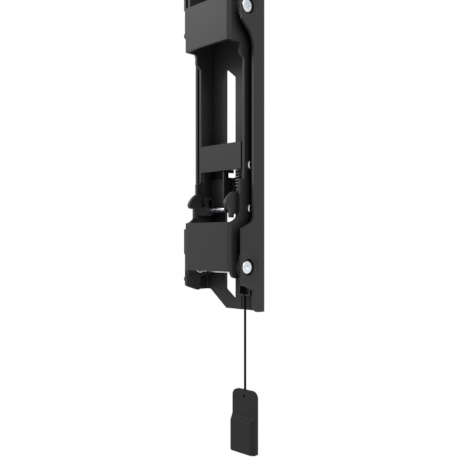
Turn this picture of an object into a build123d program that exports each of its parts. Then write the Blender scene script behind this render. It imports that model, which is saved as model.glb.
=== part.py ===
import os

from build123d import *

os.makedirs("parts", exist_ok=True)

# Fixed TV bracket: one display arm, in millimetres
# X runs across the arm, +Y points to the display and +Z up. The origin lies on the
# display face of the channel, level with the middle of the upper strap.

# Overall sizes
sheet = 2.5
bend_inside = 1.0
depth = 35.5
carriage_width = 55.0
flange_gap = 5.5
flange_depth = 14.8
back_gap = 0.3

# Straps and the recess that takes the wall rail
upper_strap_height = 37.0
recess_height = 147.2
lower_strap_height = 40.0
cheek_top_rise = 21.0
cheek_foot = 5.4
cheek_foot_setback = 2.8
cheek_corner_radius = 5.0
crown_setback = 4.7
shoulder_setback = 13.0
cheek_depth_behind_rail = 14.9
upper_shoulder_height = 8.0
shoulder_slant = 4.5
lower_shoulder_height = 36.2
shoulder_tip_drop = 2.0

# Cross strip, folded over from the left cheek
cross_strip_height = 22.6
cross_strip_above_lower_strap = 44.6
cross_strip_gap = 3.7
cross_strip_taper = 2.2

# Channel
channel_top_rise = 39.0
channel_foot = 33.6
left_flange_lift = 15.8
web_cut_start = 4.0
web_cut_run = 20.0
flange_corner_radius = 6.0
slot_width = 12.3
slot_centre = -3.9
slot_top_drop = 10.5
slot_bottom_lift = 16.8
slot_slant_top = 9.9
slot_slant_bottom = 9.3
slot_corner_radius = 1.5

# Ears of the flanges, each with a pressed cup for its bolt
bolt_inset = 15.8
upper_bolt_above_strap_middle = 10.5
lower_bolt_above_strap_foot = 3.4
ear_press = 1.2
ear_front_setback = 5.2
ear_dish_radius = 10.6
ear_dish_slant = 60.0
ear_top_reach = 30.7
ear_top_curve = 10.2
upper_ear_bottom_reach = 12.7
upper_ear_bottom_slope = 12.3
lower_ear_bottom_reach = 8.8
lower_ear_bottom_slope = 10.0
cup_radius = 6.8
cup_wall = 2.0
cup_mouth_radius = 0.7
bolt_thread = 6.0
bolt_hole = 6.6
bolt_head = 12.6
bolt_head_height = 3.4
bolt_socket = 4.0
washer_outer = 12.0
washer_thickness = 1.2
nut_across_flats = 10.0
nut_height = 5.0

# Cross rods
rod_diameter = 5.0
rod_head = 8.0
rod_head_height = 1.6
rod_stand = 5.5
upper_pin_above_lower_strap = 47.7
guide_rod_above_lower_strap = 11.6
lower_rod_above_cheek_foot = 4.8
lower_rod_diameter = 4.0
lower_rod_stand = 6.2

# Lug below the left cheek
lug_press = 0.8
lug_overlap = 1.2
lug_front_setback = 0.3
lug_back_setback = 16.4
lug_front_drop = 8.2
lug_back_drop = 13.0
lug_corner_radius = 2.5

# Sliding latch; heights are above the top edge of the lower strap
latch_sheet = 1.5
latch_travel = 7.0
latch_side_gap = 0.3
latch_back_gap = 2.0
latch_wall_reach = 6.5
latch_foot_reach = 5.0
latch_wall_top = 62.0
latch_wall_step = 17.2
latch_waist_height = 4.0
latch_waist_reach = 0.9
latch_plate_top = 39.2
latch_plate_bottom = 9.5
latch_middle_x = 2.3
rod_play = 0.1
tongue_width = 3.2
tongue_reach = 19.5

# Latch noses, one at each side of the latch
nose_thickness = 2.8
nose_setback = 0.2
nose_underside = 12.5
nose_chin_radius = 2.9
nose_crest = 25.2
nose_back_setback = 14.0
rail_lip_floor = 14.5
rail_lip_reach = 6.0
nose_arm_top = 23.6
nose_arm_bottom = 4.0
nose_shank_setback = 6.1
nose_shank_depth = 3.9
nose_arm_lift = 3.0

# Return spring, from the upper pin to a lug of the latch
spring_x = 13.5
spring_radius = 2.6
spring_wire = 0.9
spring_turns = 6
spring_lug_height = 25.0
spring_lug_reach = 6.5
spring_lug_width = 4.6
spring_ring_radius = 2.2
spring_ring_play = 0.25

# Cord, ferrule, guide and tag
cord_x = 16.4
cord_diameter = 2.0
ferrule_diameter = 4.4
ferrule_height = 8.0
ferrule_grip = 4.0
guide_width = 13.0
guide_height = 9.2
guide_above_foot = 12.4
guide_stand = 3.8
guide_play = 0.2
guide_bore = 2.8
guide_wall = 1.3
guide_floor = 1.0
groove_width = 14.0
groove_depth = 0.6
tag_below_channel = 67.2
tag_width = 27.2
tag_height = 53.0
tag_thickness = 3.0
tag_corner_radius = 6.0
tag_eye = 2.4
tag_eye_drop = 5.0
tag_bore = 2.3
tag_pocket = 4.6
tag_pocket_depth = 2.2
tag_block_height = 31.0
tag_block_stand = 2.5
tag_block_bevel = 5.6
tag_bevel_step = 0.4
knot_diameter = 4.0
magnet_diameter = 10.0
magnet_thickness = 2.0
magnet_drop = 14.0

# Places worked out from the sizes above
channel_width = carriage_width + 2 * (flange_gap + sheet)
front_y = -depth
strap_top_z = upper_strap_height / 2
recess_top_z = -upper_strap_height / 2
lower_strap_top_z = recess_top_z - recess_height
lower_strap_bottom_z = lower_strap_top_z - lower_strap_height
cheek_top_z = strap_top_z + cheek_top_rise
cheek_bottom_z = lower_strap_bottom_z - cheek_foot
channel_top_z = strap_top_z + channel_top_rise
channel_bottom_z = lower_strap_bottom_z - channel_foot
cheek_out_x = carriage_width / 2
cheek_in_x = cheek_out_x - sheet
flange_out_x = channel_width / 2
flange_in_x = flange_out_x - sheet
web_in_y = -sheet
cheek_back_y = web_in_y - back_gap
bolt_y = front_y + bolt_inset
upper_bolt_z = upper_bolt_above_strap_middle
lower_bolt_z = lower_strap_bottom_z + lower_bolt_above_strap_foot
upper_pin_z = lower_strap_top_z + upper_pin_above_lower_strap
guide_rod_z = lower_strap_top_z + guide_rod_above_lower_strap
lower_rod_z = cheek_bottom_z + lower_rod_above_cheek_foot
lower_rod_y = web_in_y - lower_rod_stand
bolt_zs = (upper_bolt_z, lower_bolt_z)
latch_out_x = cheek_in_x - latch_side_gap
latch_back_y = web_in_y - latch_back_gap
latch_front_y = latch_back_y - latch_sheet
rod_y = latch_back_y - rod_stand
cord_y = latch_back_y - latch_sheet / 2

# Outer channel: one folded sheet, web to the display
flange_front_y = -flange_depth
ear_front_y = front_y + ear_front_setback
ear_out_x = flange_out_x - ear_press
ear_in_x = ear_out_x - sheet
ears = (
    (upper_bolt_z, upper_ear_bottom_reach, upper_ear_bottom_slope),
    (lower_bolt_z, lower_ear_bottom_reach, lower_ear_bottom_slope),
)
left_foot_z = channel_bottom_z + left_flange_lift
web_cut_x = -flange_in_x + web_cut_start
slot_left = slot_centre - slot_width / 2
slot_right = slot_centre + slot_width / 2
slot_top_z = recess_top_z - slot_top_drop
slot_bottom_z = channel_bottom_z + slot_bottom_lift
guide_z = channel_bottom_z + guide_above_foot + guide_height / 2

with BuildPart() as channel:
    # the right half of the folded section; the left half is its mirror image
    with BuildSketch(Plane.XY.offset(channel_bottom_z)):
        with BuildLine():
            FilletPolyline(
                (0, -sheet / 2),
                (flange_out_x - sheet / 2, -sheet / 2),
                (flange_out_x - sheet / 2, flange_front_y),
                radius=bend_inside + sheet / 2,
            )
        trace(line_width=sheet)
    extrude(amount=channel_top_z - channel_bottom_z)
    # the front corners of both flanges are rounded, top and bottom
    flange_ends = edges().filter_by(Axis.X).group_by(Axis.Y)[0]
    fillet(flange_ends, flange_corner_radius)
    # each ear is pressed in a little, and its cup goes on until it meets the cheek
    rim_y = flange_front_y + sheet
    for bolt_z, reach, slope in ears:
        ear_top_z = bolt_z + ear_top_reach + ear_top_curve
        ear_foot_z = bolt_z - reach - slope
        with BuildSketch(Plane.YZ.offset(ear_in_x)):
            with BuildLine():
                Polyline(
                    (flange_front_y, ear_top_z),
                    (rim_y, ear_top_z),
                    (rim_y, ear_foot_z),
                    (flange_front_y, ear_foot_z),
                    (ear_front_y, bolt_z - reach),
                    (ear_front_y, bolt_z + ear_top_reach),
                )
                RadiusArc(
                    (ear_front_y, bolt_z + ear_top_reach),
                    (flange_front_y, ear_top_z),
                    ear_front_y - flange_front_y,
                )
            make_face()
            with Locations((bolt_y, bolt_z)):
                Circle(ear_dish_radius + ear_press)
        extrude(amount=sheet)
        with BuildSketch(Plane.YZ.offset(cheek_out_x)):
            with Locations((bolt_y, bolt_z)):
                Circle(cup_radius + cup_wall)
        extrude(amount=ear_in_x - cheek_out_x)
        with BuildSketch(Plane.YZ.offset(ear_out_x)):
            with Locations((bolt_y, bolt_z)):
                Circle(ear_dish_radius)
        extrude(amount=ear_press, taper=-ear_dish_slant, mode=Mode.SUBTRACT)
        with BuildSketch(Plane.YZ.offset(cheek_out_x + sheet)):
            with Locations((bolt_y, bolt_z)):
                Circle(cup_radius)
        extrude(amount=flange_gap + sheet, mode=Mode.SUBTRACT)
        mouths = edges().filter_by(GeomType.CIRCLE)
        mouths = mouths.filter_by(lambda e: abs(e.radius - cup_radius) < 0.01)
        fillet(mouths.sort_by(Axis.X)[-1], cup_mouth_radius)
        with BuildSketch(Plane.YZ.offset(cheek_out_x)):
            with Locations((ear_front_y, bolt_z)):
                Rectangle(depth, 4 * ear_dish_radius, align=(Align.MAX, Align.CENTER))
        extrude(amount=flange_gap + sheet, mode=Mode.SUBTRACT)
        with Locations(Plane.YZ.offset(cheek_out_x + sheet)):
            with Locations((bolt_y, bolt_z)):
                Hole(bolt_hole / 2, depth=2 * sheet)
    mirror(about=Plane.YZ)
    # the left flange stops short and the web runs off below it at a slant
    with BuildSketch(Plane.XZ):
        with BuildLine():
            Polyline(
                (-channel_width, left_foot_z),
                (web_cut_x, left_foot_z),
                (web_cut_x + web_cut_run, channel_bottom_z),
                (web_cut_x + web_cut_run, channel_bottom_z - sheet),
                (-channel_width, channel_bottom_z - sheet),
                close=True,
            )
        make_face()
    extrude(amount=channel_width, both=True, mode=Mode.SUBTRACT)
    # the long slot for the display's bolts, slanted at both ends
    with BuildSketch(Plane.XZ) as slot:
        with BuildLine():
            Polyline(
                (slot_left, slot_top_z),
                (slot_right, slot_top_z - slot_slant_top),
                (slot_right, slot_bottom_z - slot_slant_bottom),
                (slot_left, slot_bottom_z),
                close=True,
            )
        make_face()
        fillet(slot.vertices(), slot_corner_radius)
    extrude(amount=channel_width, both=True, mode=Mode.SUBTRACT)
    # the opening for the cord guide
    with BuildSketch(Plane.XZ.offset(-sheet)):
        with Locations((cord_x, guide_z)):
            Rectangle(guide_width + 2 * guide_play, guide_height + 2 * guide_play)
    extrude(amount=3 * sheet, mode=Mode.SUBTRACT)
    # a shallow groove keeps the cord in line below its guide
    with BuildSketch(Plane.XZ.offset(sheet)):
        with Locations((cord_x, channel_bottom_z)):
            Rectangle(groove_width, guide_z - channel_bottom_z, align=(Align.CENTER, Align.MIN))
    extrude(amount=-groove_depth, mode=Mode.SUBTRACT)
channel.part.label = "channel"

# Inner carriage: one folded sheet, straps to the wall
shoulder_y = front_y + shoulder_setback
rail_y = cheek_back_y - cheek_depth_behind_rail
strip_top_z = lower_strap_top_z + cross_strip_above_lower_strap + cross_strip_height
strip_bottom_z = strip_top_z - cross_strip_height
strip_end_x = cheek_in_x - cross_strip_gap

with BuildPart() as carriage:
    with BuildSketch(Plane.XY.offset(cheek_bottom_z)):
        with Locations((0, front_y)):
            Rectangle(carriage_width, cheek_back_y - front_y, align=(Align.CENTER, Align.MIN))
        fillet(vertices().group_by(Axis.Y)[0], bend_inside + sheet)
        with BuildSketch(mode=Mode.PRIVATE) as hollow:
            with Locations((0, front_y + sheet)):
                Rectangle(2 * cheek_in_x, depth, align=(Align.CENTER, Align.MIN))
            fillet(hollow.vertices().group_by(Axis.Y)[0], bend_inside)
        add(hollow.sketch, mode=Mode.SUBTRACT)
    extrude(amount=cheek_top_z - cheek_bottom_z)
    # above the upper strap and below the lower one only the cheeks go on
    with BuildSketch(Plane.XZ.offset(-front_y)) as beyond_straps:
        for edge_z, outward in ((strap_top_z, Align.MIN), (lower_strap_bottom_z, Align.MAX)):
            with Locations((0, edge_z)):
                Rectangle(2 * cheek_in_x, depth, align=(Align.CENTER, outward))
    extrude(amount=-(bend_inside + sheet), mode=Mode.SUBTRACT)
    with BuildSketch(Plane.YZ):
        with Locations((front_y, strap_top_z)):
            Rectangle(crown_setback, depth, align=(Align.MIN, Align.MIN))
    extrude(amount=carriage_width, both=True, mode=Mode.SUBTRACT)
    # the side outline: rail recess, shoulders and the rounded foot
    with BuildSketch(Plane.YZ) as recess:
        with BuildLine():
            Polyline(
                (front_y - sheet, recess_top_z),
                (shoulder_y, recess_top_z),
                (shoulder_y, recess_top_z - upper_shoulder_height),
                (rail_y, recess_top_z - upper_shoulder_height - shoulder_slant),
                (rail_y, lower_strap_top_z + lower_shoulder_height),
                (shoulder_y, lower_strap_top_z + lower_shoulder_height - shoulder_tip_drop),
                (shoulder_y, lower_strap_top_z),
                (front_y - sheet, lower_strap_top_z),
                close=True,
            )
        make_face()
        corners = recess.vertices().filter_by(lambda v: abs(v.X - shoulder_y) < 0.01)
        fillet(corners.sort_by(Axis.Y)[0], shoulder_setback)
        fillet(corners.sort_by(Axis.Y)[-1], bend_inside + sheet)
    extrude(amount=carriage_width, both=True, mode=Mode.SUBTRACT)
    with BuildSketch(Plane.YZ):
        with Locations((front_y, lower_strap_bottom_z)):
            Rectangle(cheek_foot_setback, depth, align=(Align.MIN, Align.MAX))
    extrude(amount=carriage_width, both=True, mode=Mode.SUBTRACT)
    foot_edges = edges().filter_by(Axis.X).group_by(Axis.Z)[0].group_by(Axis.Y)[0]
    fillet(foot_edges, cheek_corner_radius)
    crown_edges = edges().filter_by(Axis.X).group_by(Axis.Z)[-1].group_by(Axis.Y)[0]
    fillet(crown_edges, flange_corner_radius)
    # the cross strip is a tab folded over from the left cheek
    with BuildSketch(Plane.XZ.offset(-rail_y)):
        with BuildLine():
            Polyline(
                (-cheek_out_x, strip_top_z),
                (strip_end_x, strip_top_z),
                (strip_end_x - cross_strip_taper, strip_bottom_z),
                (-cheek_out_x, strip_bottom_z),
                close=True,
            )
        make_face()
    extrude(amount=-sheet)
    # a lug goes on below the left cheek, pressed a little inwards
    with BuildSketch(Plane.YZ.offset(-cheek_out_x + lug_press)) as lug:
        with BuildLine():
            Polyline(
                (front_y + lug_front_setback, cheek_bottom_z + lug_overlap),
                (front_y + lug_front_setback, cheek_bottom_z - lug_front_drop),
                (front_y + lug_back_setback, cheek_bottom_z - lug_back_drop),
                (front_y + lug_back_setback, cheek_bottom_z + lug_overlap),
                close=True,
            )
        make_face()
        fillet(lug.vertices().sort_by(Axis.Y)[0:2], lug_corner_radius)
    extrude(amount=sheet)
    with BuildSketch(Plane.YZ.offset(-carriage_width)):
        with Locations(*[(bolt_y, z) for z in bolt_zs]):
            Circle(bolt_hole / 2)
        with Locations((rod_y, upper_pin_z), (rod_y, guide_rod_z)):
            Circle(rod_diameter / 2)
        with Locations((lower_rod_y, lower_rod_z)):
            Circle(lower_rod_diameter / 2)
    extrude(amount=2 * carriage_width, mode=Mode.SUBTRACT)
carriage.part.label = "carriage"

# Cross rods: two are riveted over outside the cheeks, the lower one ends flush
rods = []
for rod_name, rod_z in (("upper_pin", upper_pin_z), ("guide_rod", guide_rod_z)):
    with BuildPart() as rod:
        with BuildSketch(Plane.YZ.offset(-cheek_out_x)):
            with Locations((rod_y, rod_z)):
                Circle(rod_diameter / 2)
        extrude(amount=carriage_width)
        for side in (-1, 1):
            with BuildSketch(Plane.YZ.offset(side * cheek_out_x)):
                with Locations((rod_y, rod_z)):
                    Circle(rod_head / 2)
            extrude(amount=side * rod_head_height)
        rims = edges().filter_by(GeomType.CIRCLE).sort_by(Axis.X)
        fillet([rims[0], rims[-1]], rod_head_height * 0.7)
    rod.part.label = rod_name
    rods.append(rod.part)
with BuildPart() as lower_rod:
    with BuildSketch(Plane.YZ.offset(-cheek_out_x)):
        with Locations((lower_rod_y, lower_rod_z)):
            Circle(lower_rod_diameter / 2)
    extrude(amount=carriage_width)
lower_rod.part.label = "lower_rod"
rods.append(lower_rod.part)

# Bolts with domed heads, in the ears' recesses
bolt_names = ("bolt_upper_left", "bolt_upper_right", "bolt_lower_left", "bolt_lower_right")
bolt_places = [(side, z) for z in bolt_zs for side in (-1, 1)]
head_seat_x = cheek_out_x + sheet
nut_seat_x = cheek_in_x - washer_thickness
bolt_end_x = nut_seat_x - nut_height - 1.0
bolts = []
nuts = []
washers = []
for (side, bolt_z), bolt_name in zip(bolt_places, bolt_names):
    with BuildPart() as bolt:
        with BuildSketch(Plane.YZ.offset(side * bolt_end_x)):
            with Locations((bolt_y, bolt_z)):
                Circle(bolt_thread / 2)
        extrude(amount=side * (head_seat_x - bolt_end_x))
        with BuildSketch(Plane.YZ.offset(side * head_seat_x)):
            with Locations((bolt_y, bolt_z)):
                Circle(bolt_head / 2)
        extrude(amount=side * bolt_head_height)
        crown = edges().filter_by(GeomType.CIRCLE).sort_by(Axis.X)[0 if side < 0 else -1]
        fillet(crown, bolt_head_height * 0.8)
        with BuildSketch(Plane.YZ.offset(side * (head_seat_x + bolt_head_height))):
            with Locations((bolt_y, bolt_z)):
                RegularPolygon(bolt_socket / 2, 6, major_radius=False)
        extrude(amount=-side * bolt_head_height * 0.6, mode=Mode.SUBTRACT)
    bolt.part.label = bolt_name
    bolts.append(bolt.part)
    with BuildPart() as washer:
        with BuildSketch(Plane.YZ.offset(side * cheek_in_x)):
            with Locations((bolt_y, bolt_z)):
                Circle(washer_outer / 2)
                Circle(bolt_hole / 2, mode=Mode.SUBTRACT)
        extrude(amount=-side * washer_thickness)
    washers.append(washer.part)
    with BuildPart() as nut:
        with BuildSketch(Plane.YZ.offset(side * nut_seat_x)):
            with Locations((bolt_y, bolt_z)):
                RegularPolygon(nut_across_flats / 2, 6, major_radius=False)
                Circle(bolt_thread / 2, mode=Mode.SUBTRACT)
        extrude(amount=-side * nut_height)
    nut.part.label = bolt_name.replace("bolt", "nut")
    nuts.append(nut.part)

# Sliding latch: one folded sheet that runs on the upper pin and the guide rod
latch_base_z = lower_strap_top_z
plate_top_z = latch_base_z + latch_plate_top
plate_bottom_z = latch_base_z + latch_plate_bottom
latch_wall_y = rod_y - latch_wall_reach
latch_foot_y = rod_y - latch_foot_reach
latch_neck_y = rail_y + sheet + latch_side_gap
latch_waist_y = rod_y - latch_waist_reach
tongue_end_z = plate_bottom_z - tongue_reach
spring_lug_z = latch_base_z + spring_lug_height
wall_spans = (
    (-latch_out_x, -latch_out_x + latch_sheet, latch_wall_top),
    (latch_middle_x - latch_sheet, latch_middle_x, latch_wall_top),
    (latch_out_x - latch_sheet, latch_out_x, latch_wall_top),
)

with BuildPart() as latch:
    with BuildSketch(Plane.XZ.offset(-latch_back_y)):
        with Locations((0, plate_bottom_z)):
            Rectangle(2 * latch_out_x, plate_top_z - plate_bottom_z, align=(Align.CENTER, Align.MIN))
        with Locations((cord_x, plate_bottom_z)):
            Rectangle(tongue_width, tongue_reach, align=(Align.CENTER, Align.MAX))
    extrude(amount=latch_sheet)
    for wall_low_x, wall_high_x, wall_top in wall_spans:
        with BuildSketch(Plane.YZ.offset(wall_low_x)) as wall:
            with BuildLine():
                Polyline(
                    (latch_back_y, plate_bottom_z),
                    (latch_back_y, plate_top_z),
                    (latch_waist_y, plate_top_z),
                    (latch_waist_y, plate_top_z + latch_waist_height),
                    (latch_back_y, plate_top_z + latch_waist_height),
                    (latch_back_y, latch_base_z + wall_top),
                    (latch_neck_y, latch_base_z + wall_top),
                    (latch_neck_y, strip_bottom_z - latch_side_gap),
                    (latch_wall_y, strip_bottom_z - latch_side_gap),
                    (latch_wall_y, latch_base_z + latch_wall_step),
                    (latch_foot_y, latch_base_z + latch_wall_step - latch_sheet),
                    (latch_foot_y, plate_bottom_z),
                    close=True,
                )
            make_face()
            for rod_z in (upper_pin_z, guide_rod_z):
                with Locations((rod_y, rod_z + latch_travel / 2)):
                    SlotCenterToCenter(
                        latch_travel, rod_diameter + 2 * rod_play, rotation=90, mode=Mode.SUBTRACT
                    )
        extrude(amount=wall_high_x - wall_low_x)
    # the lug that takes the spring's lower ring
    with BuildSketch(Plane.YZ.offset(spring_x - latch_sheet / 2)) as spring_lug:
        with Locations((latch_front_y, spring_lug_z)):
            Rectangle(spring_lug_reach, spring_lug_width, align=(Align.MAX, Align.CENTER))
        with Locations((rod_y, spring_lug_z)):
            Circle(spring_wire / 2 + spring_ring_play, mode=Mode.SUBTRACT)
    extrude(amount=latch_sheet)
latch.part.label = "latch_slide"

# Latch noses: flat hooks inside the latch's outer walls that hold the rail's lower lip
nose_names = ("latch_nose_left", "latch_nose_right")
nose_out_x = latch_out_x - latch_sheet
nose_arm_z = latch_base_z + nose_arm_bottom + nose_arm_lift
nose_front_y = front_y + nose_setback
shank_front_y = front_y + nose_shank_setback
shank_back_y = shank_front_y + nose_shank_depth
lip_front_y = front_y + nose_back_setback
lip_back_y = rod_y - rail_lip_reach
noses = []
for side, nose_name in zip((-1, 1), nose_names):
    with BuildPart() as nose:
        with BuildSketch(Plane.YZ.offset(side * nose_out_x)) as nose_face:
            with BuildLine():
                Polyline(
                    (nose_front_y, latch_base_z + nose_crest),
                    (nose_front_y, latch_base_z + nose_underside),
                    (shank_front_y, latch_base_z + nose_underside),
                    (shank_front_y, latch_base_z + nose_arm_bottom),
                    (shank_back_y, latch_base_z + nose_arm_bottom),
                    (shank_back_y, nose_arm_z),
                    (latch_front_y, nose_arm_z),
                    (latch_front_y, latch_base_z + nose_arm_top),
                    (lip_back_y, latch_base_z + nose_arm_top),
                    (lip_back_y, latch_base_z + rail_lip_floor),
                    (lip_front_y, latch_base_z + rail_lip_floor),
                    (lip_front_y, latch_base_z + nose_crest),
                    close=True,
                )
            make_face()
            chin = nose_face.vertices().group_by(Axis.X)[0].sort_by(Axis.Y)[0]
            fillet(chin, nose_chin_radius)
            with Locations((rod_y, guide_rod_z + latch_travel / 2)):
                SlotCenterToCenter(
                    latch_travel, rod_diameter + 2 * rod_play, rotation=90, mode=Mode.SUBTRACT
                )
        extrude(amount=-side * nose_thickness)
    nose.part.label = nose_name
    noses.append(nose.part)

# Return spring: a coil with a ring round the upper pin and one in the latch's lug
upper_ring_radius = rod_diameter / 2 + spring_ring_play + spring_wire / 2
coil_top_z = upper_pin_z - upper_ring_radius
coil_bottom_z = spring_lug_z + 2 * spring_ring_radius
with BuildPart() as spring:
    with BuildLine():
        coil = Helix(
            pitch=(coil_top_z - coil_bottom_z) / spring_turns,
            height=coil_top_z - coil_bottom_z,
            radius=spring_radius,
            center=(spring_x, rod_y, coil_bottom_z),
        )
    with BuildSketch(Plane(origin=coil @ 0, z_dir=coil % 0)):
        Circle(spring_wire / 2)
    sweep(path=coil, is_frenet=True)
    # a short link runs from each end of the coil to the middle of its ring
    for link_z in (coil_bottom_z, coil_top_z):
        with BuildSketch(Plane.YZ.offset(spring_x - spring_wire / 4)):
            with Locations((rod_y, link_z)):
                Circle(spring_wire / 2)
        extrude(amount=spring_radius + spring_wire / 4)
    with BuildSketch(Plane.XY.offset(upper_pin_z)):
        with Locations((spring_x, rod_y + upper_ring_radius)):
            Circle(spring_wire / 2)
    revolve(axis=Axis((0, rod_y, upper_pin_z), (1, 0, 0)), revolution_arc=360)
    with BuildSketch(Plane.XY.offset(spring_lug_z + spring_ring_radius)):
        with Locations((spring_x + spring_ring_radius, rod_y)):
            Circle(spring_wire / 2)
    revolve(axis=Axis((spring_x, 0, spring_lug_z + spring_ring_radius), (0, 1, 0)), revolution_arc=360)
spring.part.label = "return_spring"

# Pull cord, its ferrule on the latch's tongue, and the knot in the tag
ferrule_top_z = tongue_end_z + ferrule_grip
ferrule_bottom_z = ferrule_top_z - ferrule_height
tag_top_z = channel_bottom_z - tag_below_channel
eye_z = tag_top_z - tag_eye_drop
tag_back_y = cord_y + tag_thickness / 2
with BuildPart() as ferrule:
    with BuildSketch(Plane.XY.offset(ferrule_bottom_z)):
        with Locations((cord_x, cord_y)):
            Circle(ferrule_diameter / 2)
    extrude(amount=ferrule_height)
    with BuildSketch(Plane.XY.offset(ferrule_bottom_z)):
        with Locations((cord_x, cord_y)):
            Circle(cord_diameter / 2)
    extrude(amount=ferrule_height - ferrule_grip, mode=Mode.SUBTRACT)
    with BuildSketch(Plane.XY.offset(tongue_end_z)):
        with Locations((cord_x, cord_y)):
            Rectangle(tongue_width, latch_sheet)
    extrude(amount=ferrule_grip, mode=Mode.SUBTRACT)
    chamfer(edges().filter_by(GeomType.CIRCLE).sort_by(Axis.Z)[-1], cord_diameter / 8)
ferrule.part.label = "cord_ferrule"

with BuildPart() as cord:
    with BuildSketch(Plane.XY.offset(eye_z + knot_diameter / 2)):
        with Locations((cord_x, cord_y)):
            Circle(cord_diameter / 2)
    extrude(amount=tongue_end_z - eye_z - knot_diameter / 2)
cord.part.label = "pull_cord"

with BuildPart() as knot:
    with BuildSketch(Plane.XZ.offset(-tag_back_y)):
        with Locations((cord_x, eye_z)):
            Circle(knot_diameter / 2)
    extrude(amount=tag_pocket_depth)
    fillet(knot.edges().filter_by(GeomType.CIRCLE), tag_pocket_depth / 4)
knot.part.label = "cord_knot"

# Cord guide: moulded insert, clipped into the web's opening
guide_front_y = web_in_y - guide_stand
with BuildPart() as guide:
    with BuildSketch(Plane.XZ):
        with Locations((cord_x, guide_z)):
            Rectangle(guide_width, guide_height)
    extrude(amount=-guide_front_y)
    outer_corners = edges().filter_by(Axis.Y)
    fillet(outer_corners, guide_play * 4)
    with BuildSketch(Plane.XY.offset(guide_z - guide_height / 2)):
        with Locations((cord_x, cord_y)):
            Circle(guide_bore / 2)
    extrude(amount=guide_height, mode=Mode.SUBTRACT)
    # a wide open mouth at the front; the cord snaps into the notches of its end walls
    with BuildSketch(Plane.XZ.offset(guide_floor)):
        with Locations((cord_x, guide_z)):
            Rectangle(guide_width - 2 * guide_wall, guide_height - 2 * guide_wall)
    extrude(amount=depth, mode=Mode.SUBTRACT)
guide.part.label = "cord_guide"

# Pull tag with its magnet
tag_front_y = cord_y - tag_thickness / 2
block_top_z = tag_top_z - tag_height + tag_block_height
with BuildPart() as tag:
    with BuildSketch(Plane.XZ.offset(-tag_back_y)) as tag_face:
        with Locations((cord_x, tag_top_z)):
            Rectangle(tag_width, tag_height, align=(Align.CENTER, Align.MAX))
        fillet(tag_face.vertices().group_by(Axis.Y)[-1], tag_corner_radius)
        with Locations((cord_x, eye_z)):
            Circle(tag_eye / 2, mode=Mode.SUBTRACT)
    extrude(amount=tag_thickness)
    # the grip block rises over a bevel in two steps at its top and right sides
    tag_left_x = cord_x - tag_width / 2
    tag_foot_z = tag_top_z - tag_height
    for run, rise in ((0, tag_block_stand / 2), (tag_block_bevel / 2, tag_block_stand)):
        block_width = tag_width - run
        block_height = tag_block_height - run
        with BuildSketch(Plane.XZ.offset(-tag_front_y)):
            with Locations((tag_left_x, tag_foot_z)):
                Rectangle(block_width, block_height, align=(Align.MIN, Align.MIN))
        extrude(amount=rise)
        ridge = edges().group_by(Axis.Y)[0]
        top_edge = ridge.sort_by(Axis.Z)[-1]
        right_edge = ridge.sort_by(Axis.X)[-1]
        chamfer(
            [top_edge, right_edge],
            tag_block_bevel / 2 - tag_bevel_step,
            tag_block_stand / 2 - tag_bevel_step,
            reference=faces().sort_by(Axis.Y)[0],
        )
    low_corners = edges().filter_by(Axis.Y).group_by(Axis.Z)[0].sort_by(Axis.X)
    fillet([low_corners[0], low_corners[-1]], tag_corner_radius / 4)
    with BuildSketch(Plane.XY.offset(eye_z)):
        with Locations((cord_x, cord_y)):
            Circle(tag_bore / 2)
    extrude(amount=tag_eye_drop, mode=Mode.SUBTRACT)
    # the knot sits in a pocket that is open to the back
    with BuildSketch(Plane.XZ.offset(-tag_back_y)):
        with Locations((cord_x, eye_z)):
            Circle(tag_pocket / 2)
    extrude(amount=tag_pocket_depth, mode=Mode.SUBTRACT)
    with BuildSketch(Plane.XZ.offset(-tag_back_y)):
        with Locations((cord_x, block_top_z - magnet_drop)):
            Circle(magnet_diameter / 2)
    extrude(amount=magnet_thickness, mode=Mode.SUBTRACT)
tag.part.label = "pull_tag"

with BuildPart() as magnet:
    with BuildSketch(Plane.XZ.offset(-tag_back_y)):
        with Locations((cord_x, block_top_z - magnet_drop)):
            Circle(magnet_diameter / 2)
    extrude(amount=magnet_thickness)
magnet.part.label = "tag_magnet"

pieces = [channel.part, carriage.part, latch.part, spring.part, ferrule.part, cord.part]
pieces += [knot.part, guide.part, tag.part, magnet.part] + rods + bolts + nuts + noses
for (side, bolt_z), bolt_name, washer in zip(bolt_places, bolt_names, washers):
    washer.label = bolt_name.replace("bolt", "washer")
    pieces.append(washer)
for piece in pieces:
    export_step(piece, f"parts/{piece.label}.step")
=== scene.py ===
import math

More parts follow.
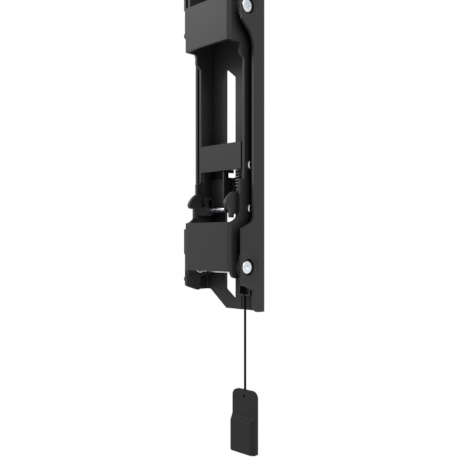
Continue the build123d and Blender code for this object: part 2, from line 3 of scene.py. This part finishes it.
import bmesh
import bpy
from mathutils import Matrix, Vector


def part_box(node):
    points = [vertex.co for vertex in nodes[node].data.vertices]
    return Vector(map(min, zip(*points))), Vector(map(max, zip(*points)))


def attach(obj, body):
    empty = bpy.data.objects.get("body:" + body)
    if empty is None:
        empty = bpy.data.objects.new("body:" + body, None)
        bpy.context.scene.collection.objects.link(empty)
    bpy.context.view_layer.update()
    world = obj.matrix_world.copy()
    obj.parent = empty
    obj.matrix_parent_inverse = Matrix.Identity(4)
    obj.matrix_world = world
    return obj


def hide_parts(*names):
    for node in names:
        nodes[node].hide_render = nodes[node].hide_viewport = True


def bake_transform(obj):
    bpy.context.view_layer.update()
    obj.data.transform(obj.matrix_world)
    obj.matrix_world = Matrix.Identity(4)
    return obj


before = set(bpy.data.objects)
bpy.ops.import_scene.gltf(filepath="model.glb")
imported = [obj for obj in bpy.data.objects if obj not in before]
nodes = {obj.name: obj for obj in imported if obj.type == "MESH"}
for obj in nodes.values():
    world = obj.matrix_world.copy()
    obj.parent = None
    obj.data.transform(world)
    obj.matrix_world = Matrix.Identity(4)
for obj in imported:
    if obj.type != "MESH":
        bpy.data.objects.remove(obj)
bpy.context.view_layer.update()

# Latch slide, and the coat that it shares with the outer channel and the inner carriage:
# sheet steel, punched, folded and powder-coated matt black. The coat has a fine orange peel,
# a paler line on the sheared edges that is partly wear and partly painted highlight, and
# painted shade that darkens its colour in the folds and recesses.
coat_black = (0.027, 0.027, 0.028, 1)
# paler colour of the edges: partly wear of the coat and partly painted highlight
coat_worn_highlight_edge = (0.060, 0.060, 0.062, 1)
# painted shade: the colour that the coat is darkened to in folds, recesses and between parts
coat_painted_shade = (0.007, 0.007, 0.0075, 1)
coat_rounding = 0.0004
coat_painted_shade_reach = 0.035
coat_peel = 900
coat_grain = 5200
coat_cloud = 28
coat_edge_start = 0.995
coat_edge_full = 0.80
coat_edge_tone = 0.75
coat_grain_tone = 0.16
coat_cloud_tone = 0.12
coat_roughness = 0.42
coat_peel_rough = 0.10
coat_grain_rough = 0.08
coat_edge_polish = 0.06
coat_depth = 0.00008
coat_grain_depth = 0.45
coat_shine = 0.34


class Socket:
    """One output socket, so that shader maths reads as Python expressions."""

    def __init__(self, tree, link):
        self.tree = tree
        self.link = link

    def node(self, kind, settings=None, out=0, **inputs):
        made = self.tree.nodes.new(kind)
        for name, value in (settings or {}).items():
            setattr(made, name, value)
        for name, value in inputs.items():
            numbered = name[0] == "i" and name[1:].isdigit()
            place = int(name[1:]) if numbered else name.replace("_", " ")
            if isinstance(value, Socket):
                self.tree.links.new(value.link, made.inputs[place])
            else:
                made.inputs[place].default_value = value
        return Socket(self.tree, made.outputs[out])

    def maths(self, operation, *values):
        given = {f"i{n}": value for n, value in enumerate(values)}
        return self.node("ShaderNodeMath", {"operation": operation}, **given)

    def __add__(self, other):
        return self.maths("ADD", self, other)

    __radd__ = __add__

    def __sub__(self, other):
        return self.maths("SUBTRACT", self, other)

    def __rsub__(self, other):
        return self.maths("SUBTRACT", other, self)

    def __mul__(self, other):
        return self.maths("MULTIPLY", self, other)

    __rmul__ = __mul__


def new_material(name):
    material = bpy.data.materials.new(name)
    material.use_nodes = True
    tree = material.node_tree
    surface = tree.nodes["Principled BSDF"]
    place = Socket(tree, tree.nodes.new("ShaderNodeTexCoord").outputs["Object"])
    return tree, surface, place, material


def feed(tree, surface, **sockets):
    for name, value in sockets.items():
        tree.links.new(value.link, surface.inputs[name.replace("_", " ")])


def blend_colours(share, low, high):
    return share.node("ShaderNodeMix", {"data_type": "RGBA"}, out=2, i0=share, i6=low, i7=high)


def speckle(place, scale, detail=2.0):
    return place.node("ShaderNodeTexNoise", Vector=place, Scale=scale, Detail=detail)


def eased_edges(place, radius, samples=6):
    return place.node("ShaderNodeBevel", {"samples": samples}, Radius=radius)


def bumped(place, strength, depth, height, **normal):
    return place.node("ShaderNodeBump", Strength=strength, Distance=depth, Height=height, **normal)


def powder_coat():
    tree, surface, place, material = new_material("powder_coat")
    peel = speckle(place, coat_peel)
    grain = speckle(place, coat_grain, detail=1.0)
    cloud = speckle(place, coat_cloud, detail=3.0)
    rounded = eased_edges(place, coat_rounding)
    flat = Socket(tree, tree.nodes.new("ShaderNodeNewGeometry").outputs["Normal"])
    facing = place.node(
        "ShaderNodeVectorMath", {"operation": "DOT_PRODUCT"}, out=1, i0=rounded, i1=flat
    )
    edge = place.node(
        "ShaderNodeMapRange",
        {"clamp": True},
        Value=facing,
        From_Min=coat_edge_start,
        From_Max=coat_edge_full,
    )
    # painted shade: an ambient occlusion node darkens the coat's colour in folds, recesses and
    # between parts
    painted_shade_openness = place.node(
        "ShaderNodeAmbientOcclusion", {"samples": 8}, out=1, Distance=coat_painted_shade_reach
    )
    # edges get a paler colour, partly wear and partly painted highlight
    tone = edge * coat_edge_tone + grain * coat_grain_tone + cloud * coat_cloud_tone
    bare = blend_colours(tone, coat_black, coat_worn_highlight_edge)
    colour = blend_colours(painted_shade_openness, coat_painted_shade, bare)
    rough = peel * coat_peel_rough + grain * coat_grain_rough + coat_roughness
    rough = rough - edge * coat_edge_polish
    relief = peel + grain * coat_grain_depth
    bump = bumped(place, strength=0.35, depth=coat_depth, height=relief, Normal=rounded)
    feed(tree, surface, Base_Color=colour, Roughness=rough, Normal=bump)
    surface.inputs["Specular IOR Level"].default_value = coat_shine
    return material


def give_finish(node, material):
    """Puts a finish on a solid that keeps its own shape."""
    nodes[node].data.materials.clear()
    nodes[node].data.materials.append(material)


coat = powder_coat()
give_finish("latch_slide", coat)

# Outer channel: one folded sheet, whose ears are drawn out of its flanges and lie flush with
# them. Only the metal round each bolt is pressed in a little, in a shallow dish that is open
# to the ear's front edge.
ear_press = 0.0012
ear_outer = 0.0343
ear_inner = 0.0318
flange_outer = 0.0355
flange_inner = 0.033
flange_front = -0.0148
ear_front = -0.0303
ear_trim = 0.0018
dish_rim = 0.0110
dish_floor = 0.0092
dish_reach = 0.0124
ear_shoulder = 0.0307
ear_shoulder_rise = 0.0072
ear_shoulder_sweep = 0.0030
ear_shoulder_turn = 12
dish_cut = 0.0008
lower_ear_reach = 0.0088
lower_ear_drop = 0.0042
upper_ear_foot = 0.025
ear_foot_radius = 0.007
touching = 1e-5
skin = 1e-4
weld_reach = 2e-6
sliver = 1e-6
flat_angle = math.radians(0.2)
squarely = 0.99
whole_arm = 1.0
channel_crease = math.radians(40)


def remodelled(node, name, body, finish):
    """A welded copy of a solid, to be shaped further; it stands in for that solid.

    A piece that bends between two bodies is given no body here.
    """
    piece = bpy.data.objects.new(name, nodes[node].data.copy())
    bpy.context.scene.collection.objects.link(piece)
    bpy.ops.object.select_all(action="DESELECT")
    piece.select_set(True)
    bpy.context.view_layer.objects.active = piece
    if piece.data.has_custom_normals:
        bpy.ops.mesh.customdata_custom_splitnormals_clear()
    weld(piece)
    piece.data.materials.clear()
    piece.data.materials.append(finish)
    if body:
        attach(piece, body)
    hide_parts(node)
    return piece


def near(value, place):
    """Whether two measures are the same, but for rounding."""
    return abs(value - place) < touching


def weld(piece):
    """Joins the points of a mesh that lie on each other, and drops faces with no area."""
    bpy.ops.object.mode_set(mode="EDIT")
    bpy.ops.mesh.select_all(action="SELECT")
    bpy.ops.mesh.remove_doubles(threshold=weld_reach)
    bpy.ops.mesh.dissolve_degenerate(threshold=sliver)
    bpy.ops.object.mode_set(mode="OBJECT")


def merge_flats(piece):
    """Merges the triangles of each flat face, so that no slivers are left on it."""
    bpy.ops.object.mode_set(mode="EDIT")
    bpy.ops.mesh.select_all(action="SELECT")
    bpy.ops.mesh.dissolve_limited(angle_limit=flat_angle)
    bpy.ops.object.mode_set(mode="OBJECT")


def round_corner(piece, y, z, radius, segments=8, profile=0.5):
    """Rounds the edges that run across the arm at one place of the outline."""
    bpy.ops.object.mode_set(mode="EDIT")
    bpy.ops.mesh.select_mode(type="VERT")
    bpy.ops.mesh.select_all(action="DESELECT")
    bpy.ops.object.mode_set(mode="OBJECT")
    for point in piece.data.vertices:
        point.select = near(point.co.y, y) and near(point.co.z, z)
    bpy.ops.object.mode_set(mode="EDIT")
    bpy.ops.mesh.bevel(
        offset=radius, segments=segments, profile=profile, affect="EDGES", clamp_overlap=True
    )
    bpy.ops.object.mode_set(mode="OBJECT")


channel_sheet = remodelled("channel", "channel_sheet", "arm", coat)
upper_low, upper_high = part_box("bolt_upper_right")
lower_low, lower_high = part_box("bolt_lower_right")
bolt_y = (upper_low.y + upper_high.y) / 2
upper_bolt_z = (upper_low.z + upper_high.z) / 2
lower_bolt_z = (lower_low.z + lower_high.z) / 2
for point in channel_sheet.data.vertices:
    across = abs(point.co.x)
    in_ear = ear_inner - touching < across < ear_outer + touching
    if in_ear and point.co.y < bolt_y + dish_reach and not near(across, flange_inner):
        point.co.x += math.copysign(ear_press, point.co.x)
    if near(point.co.y, ear_front) and near(point.co.z, lower_bolt_z - lower_ear_reach):
        point.co.z -= lower_ear_drop
    # above the bolt the ear runs off in a straight slope that sweeps up into the flange
    for bolt_z in (upper_bolt_z, lower_bolt_z):
        above = point.co.z - bolt_z - ear_shoulder
        on_shoulder = -touching < above < ear_shoulder_rise + ear_shoulder_sweep + touching
        if on_shoulder and point.co.y < flange_front + touching:
            along = (point.co.y - ear_front) / (flange_front - ear_front)
            rise = ear_shoulder_rise * along + ear_shoulder_sweep * along**ear_shoulder_turn
            point.co.z = bolt_z + ear_shoulder + rise
    if near(point.co.y, ear_front):
        point.co.y += ear_trim
weld(channel_sheet)
merge_flats(channel_sheet)
round_corner(channel_sheet, flange_front, upper_bolt_z - upper_ear_foot, ear_foot_radius)

# faces of the ears and flanges are cut into a fine grid round each bolt, and dished
shell = bmesh.new()
shell.from_mesh(channel_sheet.data)


def outer_faces(bolt_z, reach, with_front=False):
    found = []
    for face in shell.faces:
        middle = face.calc_center_median()
        across = abs(middle.x)
        outer = abs(face.normal.x) > squarely and across > flange_outer - touching
        front = with_front and face.normal.y < -squarely and across > flange_inner + touching
        if (outer or front) and abs(middle.z - bolt_z) < reach:
            found.append(face)
    return found


def cut_faces(faces, place, direction):
    edges = {edge for face in faces for edge in face.edges}
    points = {point for face in faces for point in face.verts}
    met = list(faces) + list(edges) + list(points)
    bmesh.ops.bisect_plane(shell, geom=met, plane_co=place, plane_no=direction)


cuts = round(2 * dish_reach / dish_cut)
for bolt_z in (upper_bolt_z, lower_bolt_z):
    for index in range(cuts + 1):
        height = bolt_z - dish_reach + index * dish_cut
        cut_faces(outer_faces(bolt_z, whole_arm, with_front=True), (0, 0, height), (0, 0, 1))
    for index in range(cuts + 1):
        depth = bolt_y - dish_reach + index * dish_cut
        cut_faces(outer_faces(bolt_z, dish_reach), (0, depth, 0), (0, 1, 0))
    for point in shell.verts:
        radius = math.hypot(max(0, point.co.y - bolt_y), point.co.z - bolt_z)
        across = abs(point.co.x)
        at_front = point.co.y < ear_front + ear_trim + touching
        on_front = at_front and across > flange_inner - skin
        if (across > ear_outer - skin or on_front) and radius < dish_rim:
            share = min(1.0, (dish_rim - radius) / (dish_rim - dish_floor))
            point.co.x -= math.copysign(ear_press * share * share * (3 - 2 * share), point.co.x)
bmesh.ops.triangulate(shell, faces=shell.faces[:], quad_method="BEAUTY", ngon_method="BEAUTY")
bmesh.ops.dissolve_degenerate(shell, dist=sliver, edges=shell.edges[:])
shell.to_mesh(channel_sheet.data)
shell.free()
bpy.ops.object.shade_smooth_by_angle(angle=channel_crease)

# Inner carriage: two cheeks and their straps, folded from one sheet too. Its cross strip is
# a tab of the left cheek that ends square, just short of the right one.
strip_end = 0.0233
strip_reach = (0.0190, 0.0214)
strip_front = -0.0177
strip_back = -0.0152
carriage_crease = math.radians(30)

carriage_sheet = remodelled("carriage", "carriage_sheet", "arm", coat)
for point in carriage_sheet.data.vertices:
    on_strip = strip_front - touching < point.co.y < strip_back + touching
    if on_strip and strip_reach[0] < point.co.x < strip_reach[1]:
        point.co.x = strip_end
bpy.ops.object.shade_smooth_by_angle(angle=carriage_crease)

# Bolts, nuts, washers, cross rods, the cord's ferrule and the tag's magnet: turned or headed,
# then zinc-plated bright, so they are the only pale metal on the black arm.
zinc_pale = (0.90, 0.93, 0.97, 1)
zinc_dull = (0.78, 0.82, 0.88, 1)
zinc_patch = 420
zinc_pit = 3800
zinc_rounding = 0.00025
zinc_roughness = 0.16
zinc_patch_rough = 0.16
zinc_pit_rough = 0.10
zinc_depth = 0.00004


def zinc_plate():
    tree, surface, place, material = new_material("zinc_plate")
    patch = speckle(place, zinc_patch, detail=3.0)
    pit = speckle(place, zinc_pit)
    rounded = eased_edges(place, zinc_rounding, samples=4)
    colour = blend_colours(patch, zinc_dull, zinc_pale)
    rough = patch * zinc_patch_rough + pit * zinc_pit_rough + zinc_roughness
    bump = bumped(place, strength=0.25, depth=zinc_depth, height=pit, Normal=rounded)
    feed(tree, surface, Base_Color=colour, Roughness=rough, Normal=bump)
    surface.inputs["Metallic"].default_value = 1.0
    return material


zinc = zinc_plate()
zinc_nodes = ["upper_pin", "guide_rod", "lower_rod", "cord_ferrule", "tag_magnet"]
for kind in ("bolt", "nut", "washer"):
    for place_name in ("upper_left", "upper_right", "lower_left", "lower_right"):
        zinc_nodes.append(f"{kind}_{place_name}")
for name in zinc_nodes:
    give_finish(name, zinc)

# Latch noses and cord guide: moulded in black glass-filled nylon, with a fine sparked grain
# from the tool and soft edges.
nylon_black = (0.018, 0.018, 0.019, 1)
nylon_worn = (0.045, 0.045, 0.046, 1)
nylon_grain = 4200
nylon_flow = 260
nylon_rounding = 0.0005
nylon_grain_tone = 0.25
nylon_flow_tone = 0.25
nylon_roughness = 0.36
nylon_grain_rough = 0.12
nylon_flow_rough = 0.10
nylon_depth = 0.00006


def moulded_nylon():
    tree, surface, place, material = new_material("moulded_nylon")
    grain = speckle(place, nylon_grain)
    flow = speckle(place, nylon_flow)
    rounded = eased_edges(place, nylon_rounding)
    tone = grain * nylon_grain_tone + flow * nylon_flow_tone
    colour = blend_colours(tone, nylon_black, nylon_worn)
    rough = grain * nylon_grain_rough + flow * nylon_flow_rough + nylon_roughness
    bump = bumped(place, strength=0.3, depth=nylon_depth, height=grain, Normal=rounded)
    feed(tree, surface, Base_Color=colour, Roughness=rough, Normal=bump)
    return material


nylon = moulded_nylon()
give_finish("cord_guide", nylon)

# each nose has a full, sloping brow, and its other corners are eased
nose_brow = 0.0094
nose_brow_fullness = 0.36
nose_crest_end = 0.0022
nose_brow_steps = 12
nose_heel = 0.0014
nose_shank = 0.0059
nose_arm_drop = 0.0016
nose_arm_corner = 0.0026
lip_front = -0.0215
lip_back = -0.0160
nose_crease = math.radians(35)
for side_name in ("left", "right"):
    node = f"latch_nose_{side_name}"
    nose_low, nose_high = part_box(node)
    nose = remodelled(node, f"nose_plate_{side_name}", "latch", nylon)
    merge_flats(nose)
    round_corner(nose, nose_low.y, nose_high.z, nose_brow, nose_brow_steps, nose_brow_fullness)
    round_corner(nose, lip_front, nose_high.z, nose_crest_end)
    round_corner(nose, nose_low.y + nose_shank, nose_low.z, nose_heel)
    round_corner(nose, lip_back, nose_high.z - nose_arm_drop, nose_heel)
    round_corner(nose, nose_high.y, nose_high.z - nose_arm_drop, nose_arm_corner)
    bpy.ops.object.shade_smooth_by_angle(angle=nose_crease)

# Return spring: hard-drawn wire, coiled, oiled and left bare, so it is a darker steel. Its
# upper ring stays on the pin, its lower ring goes down with the latch, and the coil between
# them stretches.
spring_bright = (0.42, 0.42, 0.43, 1)
spring_dark = (0.16, 0.16, 0.165, 1)
spring_streak = 1400
spring_roughness = 0.25
spring_streak_rough = 0.2
spring_depth = 0.00003
spring_crease = math.radians(60)


def spring_wire():
    tree, surface, place, material = new_material("spring_wire")
    streak = speckle(place, spring_streak)
    colour = blend_colours(streak, spring_dark, spring_bright)
    rough = streak * spring_streak_rough + spring_roughness
    bump = bumped(place, strength=0.2, depth=spring_depth, height=streak)
    feed(tree, surface, Base_Color=colour, Roughness=rough, Normal=bump)
    surface.inputs["Metallic"].default_value = 1.0
    return material


spring_coil = remodelled("return_spring", "spring_coil", None, spring_wire())
bpy.ops.object.shade_smooth_by_angle(angle=spring_crease)
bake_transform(spring_coil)

# Pull cord: 2 mm round polyester braid, black. It leaves the ferrule on the latch's tongue,
# runs straight down through the guide and is pulled taut by the tag.
cord_diameter = 0.002
cord_low, cord_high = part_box("pull_cord")
cord_x = (cord_low.x + cord_high.x) / 2
cord_y = (cord_low.y + cord_high.y) / 2
cord_length = cord_high.z - cord_low.z
cord_points = 5
cord_black = (0.0015, 0.0015, 0.0015, 1)
cord_pale = (0.006, 0.006, 0.0062, 1)
braid_lay = 0.0062
braid_strands = 8
braid_fuzz = 9000
braid_weave_tone = 0.7
braid_fuzz_tone = 0.3
braid_roughness = 0.8
braid_fuzz_rough = 0.15
braid_depth = 0.0002
braid_fuzz_depth = 0.2
braid_shine = 0.12


def braided_cord():
    tree, surface, place, material = new_material("braided_cord")
    centred = place.node("ShaderNodeMapping", Vector=place, Location=(-cord_x, -cord_y, 0))
    split = tree.nodes.new("ShaderNodeSeparateXYZ")
    tree.links.new(centred.link, split.inputs[0])
    across, along, height = (Socket(tree, out) for out in split.outputs)
    turn = place.maths("ARCTAN2", along, across) * (braid_strands / 2)
    climb = height * (math.pi * braid_strands / braid_lay)
    strands = place.maths("SINE", turn + climb) * place.maths("SINE", turn - climb)
    weave = place.maths("ABSOLUTE", strands)
    fuzz = speckle(place, braid_fuzz)
    tone = weave * braid_weave_tone + fuzz * braid_fuzz_tone
    colour = blend_colours(tone, cord_black, cord_pale)
    relief = weave + fuzz * braid_fuzz_depth
    bump = bumped(place, strength=0.8, depth=braid_depth, height=relief)
    rough = braid_roughness + fuzz * braid_fuzz_rough
    feed(tree, surface, Base_Color=colour, Roughness=rough, Normal=bump)
    surface.inputs["Specular IOR Level"].default_value = braid_shine
    return material


braid = braided_cord()
line = bpy.data.curves.new("pull_cord_line", "CURVE")
line.dimensions = "3D"
line.bevel_depth = cord_diameter / 2
line.bevel_resolution = 6
line.resolution_u = 12
line.use_fill_caps = True
spline = line.splines.new("NURBS")
spline.points.add(cord_points - 1)
for index, point in enumerate(spline.points):
    share = index / (cord_points - 1)
    point.co = (cord_x, cord_y, cord_high.z - share * cord_length, 1)
spline.order_u = 3
spline.use_endpoint_u = True
line.materials.append(braid)
pull_line = bpy.data.objects.new("pull_line", line)
bpy.context.scene.collection.objects.link(pull_line)
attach(pull_line, "latch")
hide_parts("pull_cord")

give_finish("cord_knot", braid)

# Pull tag: moulded in satin black rubbery plastic, with a raised grip block on its lower
# half and a magnet pressed into its back.
tag_black = (0.009, 0.009, 0.0094, 1)
tag_pale = (0.017, 0.017, 0.018, 1)
tag_grain = 3600
tag_cloud = 90
tag_rounding = 0.0006
tag_grain_tone = 0.4
tag_cloud_tone = 0.3
tag_roughness = 0.5
tag_grain_rough = 0.12
tag_cloud_rough = 0.1
tag_depth = 0.00006
tag_shine = 0.3


def tag_moulding():
    tree, surface, place, material = new_material("tag_moulding")
    grain = speckle(place, tag_grain)
    cloud = speckle(place, tag_cloud)
    rounded = eased_edges(place, tag_rounding)
    tone = grain * tag_grain_tone + cloud * tag_cloud_tone
    colour = blend_colours(tone, tag_black, tag_pale)
    rough = grain * tag_grain_rough + cloud * tag_cloud_rough + tag_roughness
    bump = bumped(place, strength=0.25, depth=tag_depth, height=grain, Normal=rounded)
    feed(tree, surface, Base_Color=colour, Roughness=rough, Normal=bump)
    surface.inputs["Specular IOR Level"].default_value = tag_shine
    return material


give_finish("pull_tag", tag_moulding())

# Studio: a pale floor well below the arm, a white room, a large soft key from the upper
# left and a weaker fill from the right.
floor_drop = 0.95
floor_size = 30.0
stage_glow = 0.985
stage_pale = (0.9, 0.9, 0.9, 1)
stage_roughness = 0.9


def pale_stage():
    material = bpy.data.materials.new("pale_stage")
    material.use_nodes = True
    tree = material.node_tree
    surface = tree.nodes["Principled BSDF"]
    surface.inputs["Base Color"].default_value = stage_pale
    surface.inputs["Roughness"].default_value = stage_roughness
    glow = tree.nodes.new("ShaderNodeEmission")
    glow.inputs["Strength"].default_value = 1.0
    rays = tree.nodes.new("ShaderNodeLightPath")
    seen = Socket(tree, rays.outputs["Is Camera Ray"])
    seen = seen + Socket(tree, rays.outputs["Is Glossy Ray"])
    seen = (seen + Socket(tree, rays.outputs["Is Transmission Ray"])) * stage_glow
    mix = tree.nodes.new("ShaderNodeMixShader")
    tree.links.new(seen.link, mix.inputs[0])
    tree.links.new(surface.outputs[0], mix.inputs[1])
    tree.links.new(glow.outputs[0], mix.inputs[2])
    tree.links.new(mix.outputs[0], tree.nodes["Material Output"].inputs[0])
    return material


bpy.ops.object.select_all(action="DESELECT")
bpy.ops.mesh.primitive_plane_add(size=floor_size, location=(0, 0, -floor_drop))
floor = bpy.context.object
floor.name = "floor"
floor.data.materials.append(pale_stage())

world = bpy.data.worlds.new("white_room")
bpy.context.scene.world = world
world.use_nodes = True
tree = world.node_tree
room = tree.nodes["Background"]
room.inputs["Color"].default_value = (1, 1, 1, 1)
rays = tree.nodes.new("ShaderNodeLightPath")
seen = Socket(tree, rays.outputs["Is Camera Ray"])
seen = seen + Socket(tree, rays.outputs["Is Transmission Ray"])
glossy = Socket(tree, rays.outputs["Is Glossy Ray"])
world_diffuse = 0.55
world_glossy = 0.72
strength = world_diffuse + seen * (1 - world_diffuse)
strength = strength + glossy * (world_glossy - world_diffuse)
tree.links.new(strength.link, room.inputs["Strength"])


def soft_lamp(name, place, aim, size, power):
    lamp = bpy.data.lights.new(name, "AREA")
    lamp.shape = "SQUARE"
    lamp.size = size
    lamp.energy = power
    made = bpy.data.objects.new(name, lamp)
    made.location = place
    made.rotation_euler = (Vector(aim) - Vector(place)).to_track_quat("-Z", "Y").to_euler()
    bpy.context.scene.collection.objects.link(made)


arm_middle = (0, 0, -0.10)
soft_lamp("key", place=(-0.70, -0.70, 0.50), aim=arm_middle, size=0.52, power=5.0)
soft_lamp("fill", place=(1.05, -0.30, 0.60), aim=arm_middle, size=0.7, power=3.0)

# Camera: level, at the photograph's angle of 45 degrees from the wall side, below the
# upper strap, with the horizon a little below the middle of the frame.
eye = Vector((0.38935, -0.39626, -0.1825))
frame_height = 460
horizon_below_middle = 13
level = math.radians(90)
view_angle = math.radians(45)
camera = bpy.data.objects.new("camera", bpy.data.cameras.new("camera"))
camera.data.lens = 50
camera.data.sensor_width = 36
camera.data.shift_y = horizon_below_middle / frame_height
camera.data.clip_start = 0.01
camera.location = eye
camera.rotation_euler = (level, 0, view_angle)
bpy.context.scene.collection.objects.link(camera)
bpy.context.scene.camera = camera

bpy.context.scene.view_settings.view_transform = "Standard"
